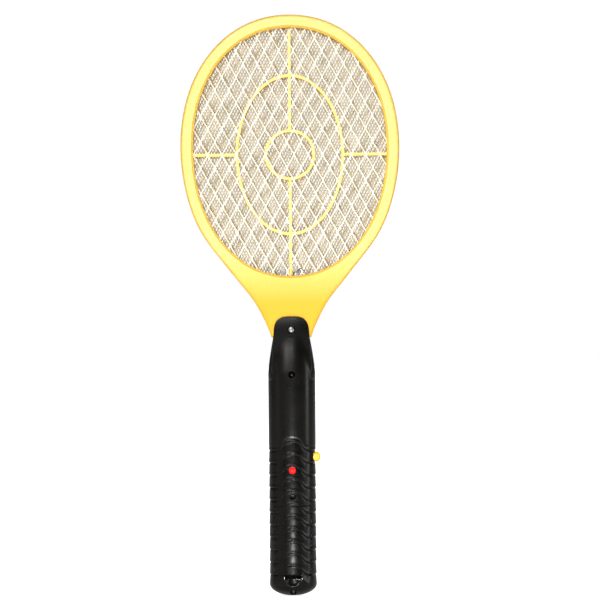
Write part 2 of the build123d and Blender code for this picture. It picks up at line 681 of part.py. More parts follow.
with BuildPart() as power_button:
    add(side_disc(BUTTON_FLANGE[0], BUTTON_END, BUTTON_RADIUS))
    fillet(power_button.edges().group_by(Axis.X)[-1], BUTTON_ROUND)
    add(side_disc(BUTTON_FLANGE[0], BUTTON_FLANGE[1], BUTTON_FLANGE_RADIUS))

with BuildPart() as switch_plunger:
    add(side_disc(PLUNGER_START, BUTTON_FLANGE[0], PLUNGER_RADIUS))

with BuildPart() as push_switch:
    switch_x = (SWITCH_START + SWITCH_END) / 2
    with Locations((switch_x, (SWITCH_FRONT + BOARD_FACE) / 2, up(BUTTON_HEIGHT))):
        Box(SWITCH_END - SWITCH_START, BOARD_FACE - SWITCH_FRONT, 2 * SWITCH_HALF_HEIGHT)
    with BuildSketch(Plane.YZ.offset(PLUNGER_START - BUTTON_TRAVEL - DOOR_GAP)):
        with Locations(button_place):
            Circle(PLUNGER_RADIUS + DOOR_GAP)
    extrude(amount=SWITCH_END, mode=Mode.SUBTRACT)

with BuildPart() as button_spring:
    spring_start = SWITCH_END + BUTTON_SPRING_WIRE
    spring_length = BUTTON_FLANGE[0] - BUTTON_SPRING_WIRE - spring_start
    with BuildLine() as coil:
        Helix(
            pitch=spring_length / BUTTON_SPRING_TURNS,
            height=spring_length,
            radius=BUTTON_SPRING_RADIUS,
            center=(spring_start, BUTTON_DEPTH, up(BUTTON_HEIGHT)),
            direction=(1, 0, 0),
        )
    with BuildSketch(Plane(origin=coil.line @ 0, z_dir=coil.line % 0)):
        Circle(BUTTON_SPRING_WIRE)
    sweep()

# ---------------------------------------------------------------- lamp
with BuildPart() as indicator_led:
    with BuildSketch(Plane.XZ.offset(-LAMP_BASE)):
        with Locations((0, up(LAMP_HEIGHT))):
            Circle(LAMP_RADIUS)
    extrude(amount=LAMP_BASE - LAMP_TIP)
    fillet(indicator_led.edges().group_by(Axis.Y)[0], LAMP_ROUND)
    with BuildSketch(Plane.XZ.offset(-LAMP_BASE - LAMP_FLANGE)):
        with Locations((0, up(LAMP_HEIGHT))):
            Circle(LAMP_FLANGE_RADIUS)
    extrude(amount=LAMP_FLANGE)

with BuildPart() as led_legs:
    with BuildSketch(Plane.XZ.offset(-BOARD_FACE)):
        with Locations((-LAMP_LEG_X, up(LAMP_HEIGHT)), (LAMP_LEG_X, up(LAMP_HEIGHT))):
            Rectangle(LAMP_LEG_WIDTH, LAMP_LEG_WIDTH)
    extrude(amount=BOARD_FACE - LAMP_BASE - LAMP_FLANGE)

# ---------------------------------------------------------------- circuit board and its parts
with BuildPart() as circuit_board:
    with BuildSketch(Plane.XZ.offset(-BOARD_BACK)):
        with Locations((0, up((BOARD_BOTTOM + BOARD_TOP) / 2))):
            RectangleRounded(2 * BOARD_HALF_WIDTH, BOARD_TOP - BOARD_BOTTOM, BOARD_CORNER)
        with Locations(*[(x, up(height)) for x, height in BOARD_POSTS]):
            Circle(BOARD_SCREW_RADIUS, mode=Mode.SUBTRACT)
        # a notch round the push button
        with Locations((BOARD_NOTCH_X + BOARD_HALF_WIDTH / 2, up(BUTTON_HEIGHT))):
            Rectangle(BOARD_HALF_WIDTH, 2 * BOARD_NOTCH_HALF_HEIGHT, mode=Mode.SUBTRACT)
    extrude(amount=BOARD_BACK - BOARD_FACE)


def on_board(places, size):
    """Blocks with rounded corners on the board's front face."""
    width, length, thickness, corner = size
    with BuildPart() as blocks:
        with BuildSketch(Plane.XZ.offset(-BOARD_FACE)):
            with Locations(*[(x, up(height)) for x, height in places]):
                RectangleRounded(width, length, corner)
        extrude(amount=thickness)
    return blocks.part


with BuildPart() as transformer_core:
    core_plane = Plane.XZ.offset(TRANSFORMER_DEPTH - CORE_THICKNESS / 2)
    with BuildSketch(core_plane):
        with Locations((TRANSFORMER_X, up(TRANSFORMER_HEIGHT))):
            Rectangle(CORE_WIDTH, CORE_LENGTH)
            window_offset = CORE_LEG / 2 + CORE_WINDOW_WIDTH / 2
            with Locations((-window_offset, 0), (window_offset, 0)):
                Rectangle(CORE_WINDOW_WIDTH, CORE_WINDOW_LENGTH, mode=Mode.SUBTRACT)
    extrude(amount=CORE_THICKNESS)


def round_leg(width, depth, length, centre_rise=0.0):
    """A rounded block round the core's middle leg, which is left free."""
    base = up(TRANSFORMER_HEIGHT + centre_rise) - length / 2
    with BuildPart() as block:
        with BuildSketch(Plane.XY.offset(base)):
            with Locations((TRANSFORMER_X, -TRANSFORMER_DEPTH)):
                RectangleRounded(width, depth, BOBBIN_CORNER)
                Rectangle(CORE_LEG + FIT, CORE_THICKNESS + FIT, mode=Mode.SUBTRACT)
        extrude(amount=length)
    return block.part


flange_rise = WINDING_LENGTH / 2 + BOBBIN_FLANGE / 2

with BuildPart() as transformer_winding:
    add(round_leg(WINDING_WIDTH, WINDING_DEPTH, WINDING_LENGTH))

with BuildPart() as transformer_bobbin:
    for rise in (-flange_rise, flange_rise):
        add(round_leg(BOBBIN_WIDTH, BOBBIN_DEPTH, BOBBIN_FLANGE, rise))

with BuildPart() as drive_transistor:
    add(on_board([TRANSISTOR_PLACE], TRANSISTOR_SIZE))

with BuildPart() as storage_capacitor:
    add(on_board([STORAGE_CAPACITOR_PLACE], STORAGE_CAPACITOR_SIZE))

with BuildPart() as doubler_capacitors:
    add(on_board(DOUBLER_CAPACITOR_PLACES, DOUBLER_CAPACITOR_SIZE))

with BuildPart() as doubler_diodes:
    add(on_board(DIODE_PLACES, DIODE_SIZE))

with BuildPart() as resistors:
    add(on_board(RESISTOR_PLACES, RESISTOR_SIZE))


# ---------------------------------------------------------------- battery cells and contacts
def cell(nub_up, x):
    """An AA cell standing in the bay: its can and the nub at its positive end."""
    base = BAY_BOTTOM + CONTACT_THICKNESS + (CELL_SPRING_LENGTH if nub_up else CELL_NUB_HEIGHT)
    nub_base = base + CELL_LENGTH - CELL_NUB_HEIGHT if nub_up else base - CELL_NUB_HEIGHT
    with BuildPart() as aa_cell:
        with BuildSketch(Plane.XY.offset(up(base))):
            with Locations((x, 0)):
                Circle(CELL_RADIUS)
        extrude(amount=CELL_LENGTH - CELL_NUB_HEIGHT)
        with BuildSketch(Plane.XY.offset(up(nub_base))):
            with Locations((x, 0)):
                Circle(CELL_NUB_RADIUS)
        extrude(amount=CELL_NUB_HEIGHT)
    return aa_cell.part


with BuildPart() as battery_left:
    add(cell(True, -CELL_CENTRE))

with BuildPart() as battery_right:
    add(cell(False, CELL_CENTRE))

top_contact_height = bay_top - CONTACT_THICKNESS


def cell_spring(x, height):
    """A contact spring under or over the flat end of a cell."""
    length = CELL_SPRING_LENGTH - 2 * CELL_SPRING_WIRE
    with BuildPart() as spring:
        with BuildLine() as coil:
            Helix(
                pitch=length / CELL_SPRING_TURNS,
                height=length,
                radius=CELL_SPRING_RADIUS,
                center=(x, 0, up(height + CELL_SPRING_WIRE)),
            )
        with BuildSketch(Plane(origin=coil.line @ 0, z_dir=coil.line % 0)):
            Circle(CELL_SPRING_WIRE)
        sweep()
    return spring.part


with BuildPart() as lower_battery_spring:
    add(cell_spring(-CELL_CENTRE, BAY_BOTTOM + CONTACT_THICKNESS))

with BuildPart() as upper_battery_spring:
    add(cell_spring(CELL_CENTRE, top_contact_height - CELL_SPRING_LENGTH))

with BuildPart() as bridge_contact:
    with Locations((0, 0, up(BAY_BOTTOM + CONTACT_THICKNESS / 2))):
        Box(2 * CELL_CENTRE + CONTACT_WIDTH, CONTACT_WIDTH, CONTACT_THICKNESS)

contact_x = CELL_CENTRE + CONTACT_SHIFT

with BuildPart() as positive_contact:
    with Locations((-contact_x, 0, up(top_contact_height + CONTACT_THICKNESS / 2))):
        Box(CONTACT_LENGTH, CONTACT_WIDTH, CONTACT_THICKNESS)

with BuildPart() as negative_contact:
    with Locations((contact_x, 0, up(top_contact_height + CONTACT_THICKNESS / 2))):
        Box(CONTACT_LENGTH, CONTACT_WIDTH, CONTACT_THICKNESS)


# ---------------------------------------------------------------- leads
def bend_radii(points):
    """The largest round bends that the runs between these points allow."""
    places = [Vector(*point) for point in points]
    radii = []
    for before, corner, after in zip(places, places[1:], places[2:]):
        run_in, run_out = corner - before, after - corner
        half_turn = radians(run_in.get_angle(run_out) / 2)
        radii.append(0.45 * min(run_in.length, run_out.length) / tan(half_turn))
    return radii


def lead(*points):
    """A round lead along straight runs joined by bends."""
    route_points = [(x, y, up(height)) for x, y, height in points]
    with BuildPart() as tube:
        with BuildLine() as route:
            FilletPolyline(*route_points, radius=bend_radii(route_points))
        with BuildSketch(Plane(origin=route.line @ 0, z_dir=route.line % 0)):
            Circle(LEAD_RADIUS)
        sweep()
    radii = [round(radius) for radius in bend_radii(route_points)]
    drawn_length = tube.part.volume / (pi * LEAD_RADIUS**2)
    print(f"lead {route.wire().length:.1f} mm, {drawn_length:.1f} mm by volume, bends {radii}")
    return tube.part


lead_on_board = BOARD_FACE - LEAD_RADIUS


def battery_lead(bay_x, board_x):
    """A lead from a battery contact, through the bay's wall, up to the board."""
    return lead(
        (bay_x, 0, bay_top),
        (bay_x, 0, bay_top + 7),
        (board_x, lead_on_board, BOARD_BOTTOM + 2),
        (board_x, lead_on_board, BOARD_BOTTOM + 10.5),
    )


def mesh_lead(x, end_depth):
    """A lead from the board, up a channel in the neck, to the strip on its mesh."""
    return lead(
        (x, lead_on_board, MESH_LEAD_START),
        (x, lead_on_board, BOARD_TOP + 0.5),
        (x, 0, STEM_END - 2),
        (x, 0, CHANNEL_FAN_START),
        (x, end_depth, CHANNEL_FAN_START + 7),
        (x, end_depth, STRIP_BOTTOM + 4),
    )


with BuildPart() as red_battery_lead:
    add(battery_lead(-BATTERY_LEAD_X, RED_LEAD_BOARD_X))

with BuildPart() as black_battery_lead:
    add(battery_lead(BATTERY_LEAD_X, BLACK_LEAD_BOARD_X))

outer_lead_depth = OUTER_MESH_BACK - STRIP_THICKNESS - LEAD_RADIUS
middle_lead_depth = MIDDLE_MESH_FACE + STRIP_THICKNESS + LEAD_RADIUS

with BuildPart() as front_mesh_lead:
    add(mesh_lead(FRONT_MESH_LEAD_X, -outer_lead_depth))

with BuildPart() as rear_mesh_lead:
    add(mesh_lead(REAR_MESH_LEAD_X, outer_lead_depth))

with BuildPart() as middle_mesh_lead:
    add(mesh_lead(-CHANNEL_CENTRE, -middle_lead_depth))

# ---------------------------------------------------------------- export
nodes = {
    "front_frame": front_frame,
    "rear_frame": rear_frame,
    "front_mesh": front_mesh,
    "rear_mesh": rear_mesh,
    "middle_mesh": middle_mesh,
    "front_spacer_grid": front_spacer_grid,
    "rear_spacer_grid": rear_spacer_grid,
    "front_mesh_terminal": front_mesh_terminal,
    "rear_mesh_terminal": rear_mesh_terminal,
    "middle_mesh_terminal": middle_mesh_terminal,
    "front_handle_shell": front_handle_shell,
    "rear_handle_shell": rear_handle_shell,
    "battery_door": battery_door,
    "handle_screws": handle_screws,
    "board_screws": board_screws,
    "power_button": power_button,
    "switch_plunger": switch_plunger,
    "push_switch": push_switch,
    "button_spring": button_spring,
    "indicator_led": indicator_led,
    "led_legs": led_legs,
    "circuit_board": circuit_board,
    "transformer_core": transformer_core,
    "transformer_winding": transformer_winding,
    "transformer_bobbin": transformer_bobbin,
    "drive_transistor": drive_transistor,
    "storage_capacitor": storage_capacitor,
    "doubler_capacitors": doubler_capacitors,
    "doubler_diodes": doubler_diodes,
    "resistors": resistors,
    "battery_left": battery_left,
    "battery_right": battery_right,
    "lower_battery_spring": lower_battery_spring,
    "upper_battery_spring": upper_battery_spring,
    "bridge_contact": bridge_contact,
    "positive_contact": positive_contact,
    "negative_contact": negative_contact,
    "red_battery_lead": red_battery_lead,
    "black_battery_lead": black_battery_lead,
    "front_mesh_lead": front_mesh_lead,
    "rear_mesh_lead": rear_mesh_lead,
    "middle_mesh_lead": middle_mesh_lead,
}

for name, node in nodes.items():
    node.part.label = name
    export_step(node.part, f"parts/{name}.step")
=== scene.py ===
import math

import bmesh
import bpy
import numpy as np
from mathutils import Matrix, Vector, noise


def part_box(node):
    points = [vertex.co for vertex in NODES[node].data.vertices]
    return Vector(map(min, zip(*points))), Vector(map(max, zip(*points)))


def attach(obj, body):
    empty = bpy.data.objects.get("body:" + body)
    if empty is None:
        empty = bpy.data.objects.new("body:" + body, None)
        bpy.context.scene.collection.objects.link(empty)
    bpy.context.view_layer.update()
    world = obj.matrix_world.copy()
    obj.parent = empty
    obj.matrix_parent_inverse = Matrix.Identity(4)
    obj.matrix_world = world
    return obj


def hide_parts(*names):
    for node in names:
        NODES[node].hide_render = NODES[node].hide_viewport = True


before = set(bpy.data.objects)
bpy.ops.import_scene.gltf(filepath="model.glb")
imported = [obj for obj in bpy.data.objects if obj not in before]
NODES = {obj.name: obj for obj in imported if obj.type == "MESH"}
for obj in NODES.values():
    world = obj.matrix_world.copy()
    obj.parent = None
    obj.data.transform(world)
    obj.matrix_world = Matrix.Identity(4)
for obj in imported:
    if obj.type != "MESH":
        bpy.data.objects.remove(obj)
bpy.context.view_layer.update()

MM = 0.001
BODY = "swatter"

# Without a seed of its own, this noise would differ from run to run
noise.seed_set(7)

# Sizes read from the frame. FOOT is the Z of the handle's end
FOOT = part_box("front_handle_shell")[0].z
MESH_LOW, MESH_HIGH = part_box("front_mesh")

# Where a colour changes, in millimetres above the handle's end: where the painted highlight on the
# rim's crown starts, the sleeve's printed band, and where the painted shade on the deep screws
# ends
RIM_CROWN = (226.0, 268.0)
SLEEVE_BAND = (52.0, 52.3)
SCREW_BRIGHT = (188.0, 196.0)


def up(height):
    """The Z, in metres, of a height in millimetres above the handle's end."""
    return FOOT + height * MM


# ---------------------------------------------------------------- camera
VIEW_WIDTH = 0.4656
VIEW_CENTRE = Vector((0.0069, 0.0, up(228.9)))
VIEW_DISTANCE = 1.75
VIEW_ROLL = -0.46

camera = bpy.data.cameras.new("camera")
camera.sensor_width = 36.0
camera.lens = camera.sensor_width * VIEW_DISTANCE / VIEW_WIDTH
camera_object = bpy.data.objects.new("camera", camera)
bpy.context.scene.collection.objects.link(camera_object)
camera_object.matrix_world = (
    Matrix.Translation(VIEW_CENTRE + Vector((0, -VIEW_DISTANCE, 0)))
    @ Matrix.Rotation(math.radians(90), 4, "X")
    @ Matrix.Rotation(math.radians(VIEW_ROLL), 4, "Z")
)
bpy.context.scene.camera = camera_object
bpy.context.scene.view_settings.view_transform = "Standard"


# ---------------------------------------------------------------- light
def light(name, kind, strength, place, aim, size=None, colour=(1, 1, 1)):
    """A lamp at a place that shines towards a point."""
    lamp = bpy.data.lights.new(name, kind)
    lamp.energy = strength
    lamp.color = colour
    if kind == "AREA":
        lamp.shape = "RECTANGLE"
        lamp.size, lamp.size_y = size
    if kind == "SUN":
        lamp.angle = math.radians(size)
    lamp_object = bpy.data.objects.new(name, lamp)
    bpy.context.scene.collection.objects.link(lamp_object)
    direction = Vector(aim) - Vector(place)
    lamp_object.location = place
    lamp_object.rotation_euler = direction.to_track_quat("-Z", "Y").to_euler()
    return lamp_object


light("sun_front", "SUN", 1.92, (-0.42, -1.0, 0.62), (0, 0, 0), 24, (1.0, 0.985, 0.955))
light("sun_back", "SUN", 1.3, (0.55, 1.0, 0.75), (0, 0, 0), 50, (0.97, 0.98, 1.0))
light("strip_right", "AREA", 4.6, (1.25, -0.42, 0.1), (0, 0, 0.08), (0.14, 0.9))
light("wide_left", "AREA", 1.1, (-1.2, -0.55, 0.15), (0, 0, 0.08), (0.6, 0.9), (1.0, 0.93, 0.86))
light("front_high", "AREA", 4.4, (0.0, -1.2, 0.76), (0, 0, 0.0), (0.14, 0.3))
light("front_low", "AREA", 0.85, (0.0, -0.35, -0.054), (0, 0, -0.035), (0.02, 0.024))

# The sky is white to the camera and only faint as a light
SKY_SEEN = 1.02
SKY_LIT = 0.10

world = bpy.data.worlds.new("studio")
bpy.context.scene.world = world
world.use_nodes = True
world_nodes = world.node_tree.nodes
world_links = world.node_tree.links
world_nodes.clear()
seen = world_nodes.new("ShaderNodeBackground")
seen.inputs["Color"].default_value = (1, 1, 1, 1)
seen.inputs["Strength"].default_value = SKY_SEEN
lit = world_nodes.new("ShaderNodeBackground")
lit.inputs["Color"].default_value = (1, 1, 1, 1)
lit.inputs["Strength"].default_value = SKY_LIT
path = world_nodes.new("ShaderNodeLightPath")
choose = world_nodes.new("ShaderNodeMixShader")
world_out = world_nodes.new("ShaderNodeOutputWorld")
world_links.new(path.outputs["Is Camera Ray"], choose.inputs[0])
world_links.new(lit.outputs[0], choose.inputs[1])
world_links.new(seen.outputs[0], choose.inputs[2])
world_links.new(choose.outputs[0], world_out.inputs[0])


# ---------------------------------------------------------------- materials
class Finish:
    """A material's node tree, with short calls for the nodes that the finishes share."""

    def __init__(self, name):
        self.material = bpy.data.materials.new(name)
        self.material.use_nodes = True
        self.tree = self.material.node_tree
        self.shader = self.tree.nodes["Principled BSDF"]
        self.place = self.add("ShaderNodeTexCoord").outputs["Object"]

    def add(self, kind, **settings):
        node = self.tree.nodes.new(kind)
        for key, value in settings.items():
            setattr(node, key, value)
        return node

    def link(self, source, target):
        self.tree.links.new(source, target)

    def noise(self, scale, detail=4.0, roughness=0.55, stretch=None):
        source = self.place
        if stretch:
            mapping = self.add("ShaderNodeMapping")
            mapping.inputs["Scale"].default_value = stretch
            self.link(source, mapping.inputs["Vector"])
            source = mapping.outputs[0]
        texture = self.add("ShaderNodeTexNoise")
        texture.inputs["Scale"].default_value = scale
        texture.inputs["Detail"].default_value = detail
        texture.inputs["Roughness"].default_value = roughness
        self.link(source, texture.inputs["Vector"])
        return texture.outputs["Fac"]

    def ramp(self, source, low, high, start=0.3, end=0.7):
        ramp = self.add("ShaderNodeValToRGB")
        ramp.color_ramp.elements[0].position = start
        ramp.color_ramp.elements[0].color = (*low, 1)
        ramp.color_ramp.elements[1].position = end
        ramp.color_ramp.elements[1].color = (*high, 1)
        self.link(source, ramp.inputs["Fac"])
        return ramp.outputs["Color"]

    def span(self, source, low, high, start=0.3, end=0.7):
        span = self.add("ShaderNodeMapRange")
        span.inputs["From Min"].default_value = start
        span.inputs["From Max"].default_value = end
        span.inputs["To Min"].default_value = low
        span.inputs["To Max"].default_value = high
        self.link(source, span.inputs["Value"])
        return span.outputs["Result"]

    def mix(self, factor, first, second):
        mix = self.add("ShaderNodeMix", data_type="RGBA")
        self.link(factor, mix.inputs["Factor"])
        for socket, value in ((mix.inputs[6], first), (mix.inputs[7], second)):
            if isinstance(value, tuple):
                socket.default_value = (*value, 1)
            else:
                self.link(value, socket)
        return mix.outputs[2]

    def bump(self, height, distance, strength=1.0, normal=None):
        bump = self.add("ShaderNodeBump")
        bump.inputs["Strength"].default_value = strength
        bump.inputs["Distance"].default_value = distance
        self.link(height, bump.inputs["Height"])
        if normal:
            self.link(normal, bump.inputs["Normal"])
        return bump.outputs["Normal"]

    def set(self, **values):
        for key, value in values.items():
            socket = self.shader.inputs[key.replace("_", " ")]
            if isinstance(value, (int, float)):
                socket.default_value = value
            elif isinstance(value, tuple):
                socket.default_value = (*value, 1)
            else:
                self.link(value, socket)


def moulded(name, low, high, rough, grain=900.0, relief=0.00002, mottle=60.0, **extra):
    """A moulded or coated surface: mottled colour, uneven gloss and a fine grain."""
    finish = Finish(name)
    broad = finish.noise(mottle)
    fine = finish.noise(grain, 3.0)
    finish.set(Base_Color=finish.ramp(broad, low, high))
    finish.set(Roughness=finish.span(fine, rough[0], rough[1]))
    finish.set(Normal=finish.bump(fine, relief))
    finish.set(**extra)
    return finish.material


def metal(name, low, high, rough, grain=(60.0, 60.0, 900.0), relief=0.00001, **extra):
    """A bare metal surface with fine drawn lines and uneven gloss."""
    finish = Finish(name)
    lines = finish.noise(1.0, 3.0, stretch=grain)
    broad = finish.noise(180.0)
    finish.set(Base_Color=finish.ramp(broad, low, high), Metallic=1.0)
    finish.set(Roughness=finish.span(lines, rough[0], rough[1]))
    finish.set(Normal=finish.bump(lines, relief))
    finish.set(**extra)
    return finish.material


def yellow_material():
    """Yellow ABS with a fine spark-eroded grain, and a painted highlight: a paler yellow on the
    front-facing crown of the rim.
    """
    finish = Finish("yellow_abs")
    broad = finish.noise(35.0)
    speck = finish.noise(900.0, 5.0, 0.7)
    split = finish.add("ShaderNodeSeparateXYZ")
    finish.link(finish.place, split.inputs[0])
    faces = finish.add("ShaderNodeSeparateXYZ")
    finish.link(finish.add("ShaderNodeTexCoord").outputs["Normal"], faces.inputs[0])
    level = finish.add("ShaderNodeMath", operation="ABSOLUTE")
    finish.link(faces.outputs["Y"], level.inputs[0])
    # Painted highlight mask: faces turned to the front or back, on the hoop above the neck
    flat = finish.span(level.outputs[0], 0.0, 1.0, 0.62, 0.93)
    hoop = finish.span(split.outputs["Z"], 0.0, 1.0, up(RIM_CROWN[0]), up(RIM_CROWN[1]))
    crown = finish.add("ShaderNodeMath", operation="MULTIPLY")
    finish.link(flat, crown.inputs[0])
    finish.link(hoop, crown.inputs[1])
    plain = finish.ramp(broad, (0.80, 0.435, 0.018), (0.83, 0.455, 0.023))
    # This paler yellow is a painted highlight, not a different surface
    crown_highlight = finish.ramp(speck, (0.84, 0.69, 0.12), (0.88, 0.80, 0.36), 0.36, 0.66)
    finish.set(Base_Color=finish.mix(crown.outputs[0], plain, crown_highlight))
    finish.set(Roughness=finish.span(speck, 0.36, 0.54), Specular_IOR_Level=0.4)
    finish.set(Normal=finish.bump(speck, 0.00008, 0.55))
    finish.set(Subsurface_Weight=0.06, Subsurface_Scale=0.002)
    return finish.material


def black_material():
    """Satin black ABS with faint drag marks and handling sheen."""
    finish = Finish("black_abs")
    broad = finish.noise(45.0, 5.0)
    grain = finish.noise(1400.0, 3.0)
    drag = finish.noise(1.0, 4.0, 0.6, stretch=(700.0, 700.0, 25.0))
    colour = finish.ramp(broad, (0.0008, 0.0008, 0.0005), (0.0022, 0.0020, 0.0013))
    colour = finish.mix(finish.span(drag, 0.0, 0.22, 0.62, 0.80), colour, (0.010, 0.009, 0.008))
    finish.set(Base_Color=colour)
    finish.set(Roughness=finish.span(broad, 0.24, 0.33), Specular_IOR_Level=0.20)
    grain_normal = finish.bump(grain, 0.00002, 0.5)
    finish.set(Normal=finish.bump(drag, 0.00001, 0.5, grain_normal))
    return finish.material


def mesh_material(name, low, high, rough, metallic):
    """Expanded aluminium: sheared, slightly dull strands, uneven in tone."""
    finish = Finish(name)
    broad = finish.noise(90.0, 5.0)
    fine = finish.noise(1600.0, 3.0)
    finish.set(Base_Color=finish.ramp(broad, low, high, 0.35, 0.65))
    finish.set(Roughness=finish.span(fine, rough[0], rough[1]), Metallic=metallic)
    finish.set(Normal=finish.bump(fine, 0.00002, 0.6))
    return finish.material


def lens_material():
    """The lamp's red epoxy, lit from inside, cloudy in colour and gloss."""
    finish = Finish("red_epoxy")
    cloudy = finish.noise(500.0)
    finish.set(Base_Color=finish.ramp(cloudy, (0.70, 0.004, 0.003), (0.85, 0.012, 0.008)))
    finish.set(Roughness=finish.span(cloudy, 0.10, 0.22))
    finish.set(Emission_Color=finish.ramp(cloudy, (0.95, 0.0, 0.0), (1.0, 0.002, 0.001)))
    finish.set(Emission_Strength=2.2)
    return finish.material


def cell_material():
    """A cell's plain printed sleeve: a dark body and a copper-coloured band."""
    finish = Finish("cell_sleeve")
    split = finish.add("ShaderNodeSeparateXYZ")
    finish.link(finish.place, split.inputs[0])
    cloudy = finish.noise(300.0)
    body = finish.ramp(cloudy, (0.02, 0.05, 0.09), (0.03, 0.07, 0.12))
    band = finish.ramp(cloudy, (0.55, 0.26, 0.10), (0.66, 0.33, 0.14))
    level = finish.span(split.outputs["Z"], 0.0, 1.0, up(SLEEVE_BAND[0]), up(SLEEVE_BAND[1]))
    finish.set(Base_Color=finish.mix(level, body, band), Metallic=0.55)
    finish.set(Roughness=finish.span(cloudy, 0.22, 0.34))
    return finish.material


def screw_material():
    """Zinc-plated screws: the top one keeps the plating's colour; the ones deep in the grip are
    painted dark as the shade of their recesses.
    """
    finish = Finish("screw_steel")
    split = finish.add("ShaderNodeSeparateXYZ")
    finish.link(finish.place, split.inputs[0])
    cloudy = finish.noise(240.0)
    bright = finish.ramp(cloudy, (0.34, 0.34, 0.33), (0.46, 0.46, 0.45))
    # Painted shade: the screws below the top one are darkened for the shade in their deep recesses
    recess_shade = finish.ramp(cloudy, (0.015, 0.015, 0.014), (0.035, 0.034, 0.032))
    level = finish.span(split.outputs["Z"], 0.0, 1.0, up(SCREW_BRIGHT[0]), up(SCREW_BRIGHT[1]))
    finish.set(Base_Color=finish.mix(level, recess_shade, bright), Metallic=1.0)
    finish.set(Roughness=finish.span(cloudy, 0.26, 0.38))
    return finish.material


def winding_material():
    """Turns of enamelled copper wire, wound side by side, with painted shade in the grooves
    between turns.
    """
    finish = Finish("enamelled_copper")
    wave = finish.add("ShaderNodeTexWave", bands_direction="Z")
    wave.inputs["Scale"].default_value = 900.0
    finish.link(finish.place, wave.inputs["Vector"])
    turns = wave.outputs["Fac"]
    # The darker end of this ramp is painted shade in the grooves between turns
    finish.set(Base_Color=finish.ramp(turns, (0.26, 0.07, 0.02), (0.72, 0.27, 0.08)), Metallic=0.8)
    finish.set(Roughness=finish.span(turns, 0.42, 0.26))
    finish.set(Normal=finish.bump(turns, 0.0001, 0.8))
    return finish.material


YELLOW = yellow_material()
BLACK = black_material()
STRAND = mesh_material(
    "expanded_aluminium", (0.90, 0.83, 0.67), (1.0, 0.96, 0.84), (0.34, 0.5), 0.15
)
FINE_STRAND = mesh_material(
    "fine_expanded_aluminium", (0.40, 0.335, 0.20), (0.60, 0.51, 0.34), (0.4, 0.6), 0.35
)
TINNED = metal("tinned", (0.62, 0.61, 0.58), (0.74, 0.73, 0.70), (0.28, 0.42))
ZINC = metal("zinc_plate", (0.30, 0.30, 0.29), (0.42, 0.42, 0.41), (0.20, 0.32))
SCREW_STEEL = screw_material()
NICKEL = metal("nickel_plate", (0.70, 0.68, 0.64), (0.80, 0.79, 0.76), (0.16, 0.3))
BUTTON = moulded(
    "button_plastic", (0.86, 0.52, 0.03), (0.93, 0.60, 0.05), (0.28, 0.40), 1200.0, 0.00002
)
LENS = lens_material()
SWITCH = moulded("switch_plastic", (0.02, 0.02, 0.022), (0.035, 0.034, 0.035), (0.45, 0.6))
BOARD = moulded(
    "phenolic_board", (0.24, 0.14, 0.05), (0.34, 0.21, 0.08), (0.42, 0.6), 500.0, 0.00003, 220.0
)
FERRITE = moulded("sintered_ferrite", (0.03, 0.03, 0.033), (0.06, 0.06, 0.065), (0.5, 0.75))
WINDING = winding_material()
BOBBIN = moulded("bobbin_nylon", (0.66, 0.64, 0.56), (0.76, 0.74, 0.66), (0.38, 0.52))
EPOXY = moulded("black_epoxy", (0.012, 0.012, 0.013), (0.03, 0.03, 0.032), (0.4, 0.58))
BLUE = moulded("blue_coating", (0.03, 0.09, 0.30), (0.05, 0.14, 0.42), (0.22, 0.36))
FILM = moulded("brown_coating", (0.20, 0.05, 0.02), (0.30, 0.08, 0.03), (0.2, 0.34))
BEIGE = moulded("resistor_coating", (0.52, 0.40, 0.24), (0.64, 0.50, 0.32), (0.34, 0.5))
SLEEVE = cell_material()
RED_WIRE = moulded("red_pvc", (0.46, 0.02, 0.015), (0.60, 0.03, 0.02), (0.34, 0.48))
BLACK_WIRE = moulded("black_pvc", (0.012, 0.012, 0.012), (0.025, 0.025, 0.025), (0.34, 0.48))
WHITE_WIRE = moulded("white_pvc", (0.66, 0.65, 0.61), (0.76, 0.75, 0.71), (0.34, 0.48))

NODE_FINISH = {
    "front_frame": YELLOW,
    "rear_frame": YELLOW,
    "front_mesh_terminal": TINNED,
    "rear_mesh_terminal": TINNED,
    "middle_mesh_terminal": TINNED,
    "board_screws": ZINC,
    "power_button": BUTTON,
    "switch_plunger": SWITCH,
    "push_switch": SWITCH,
    "button_spring": NICKEL,
    "indicator_led": LENS,
    "led_legs": TINNED,
    "circuit_board": BOARD,
    "transformer_core": FERRITE,
    "transformer_winding": WINDING,
    "transformer_bobbin": BOBBIN,
    "drive_transistor": EPOXY,
    "storage_capacitor": FILM,
    "doubler_capacitors": BLUE,
    "doubler_diodes": EPOXY,
    "resistors": BEIGE,
    "battery_left": SLEEVE,
    "battery_right": SLEEVE,
    "lower_battery_spring": NICKEL,
    "upper_battery_spring": NICKEL,
    "bridge_contact": NICKEL,
    "positive_contact": NICKEL,
    "negative_contact": NICKEL,
    "red_battery_lead": RED_WIRE,
    "black_battery_lead": BLACK_WIRE,
    "front_mesh_lead": WHITE_WIRE,
    "rear_mesh_lead": WHITE_WIRE,
    "middle_mesh_lead": RED_WIRE,
}


def paint(target, material):
    """Gives an object this one material."""
    target.data.materials.clear()
    target.data.materials.append(material)


for node_name, finish_material in NODE_FINISH.items():
    paint(NODES[node_name], finish_material)


# ---------------------------------------------------------------- pieces
def new_piece(name, mesh, material, body, slot, *nodes):
    """A visible piece that rides on a body and may stand for CAD nodes."""
    piece = bpy.data.objects.new(name, mesh)
    bpy.context.scene.collection.objects.link(piece)
    paint(piece, material)
    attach(piece, body)
    if nodes:
        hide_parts(*nodes)
    return piece


def smooth(mesh, angle=32.0):
    """Shades a mesh smooth, but for edges sharper than this angle."""
    mesh.shade_smooth()
    mesh.set_sharp_from_angle(angle=math.radians(angle))


def node_copy(node):
    """A node's mesh as one welded skin."""
    welded = bmesh.new()
    welded.from_mesh(NODES[node].data)
    bmesh.ops.remove_doubles(welded, verts=welded.verts, dist=0.000002)
    mesh = bpy.data.meshes.new(node + "_skin")
    welded.to_mesh(mesh)
    welded.free()
    return mesh


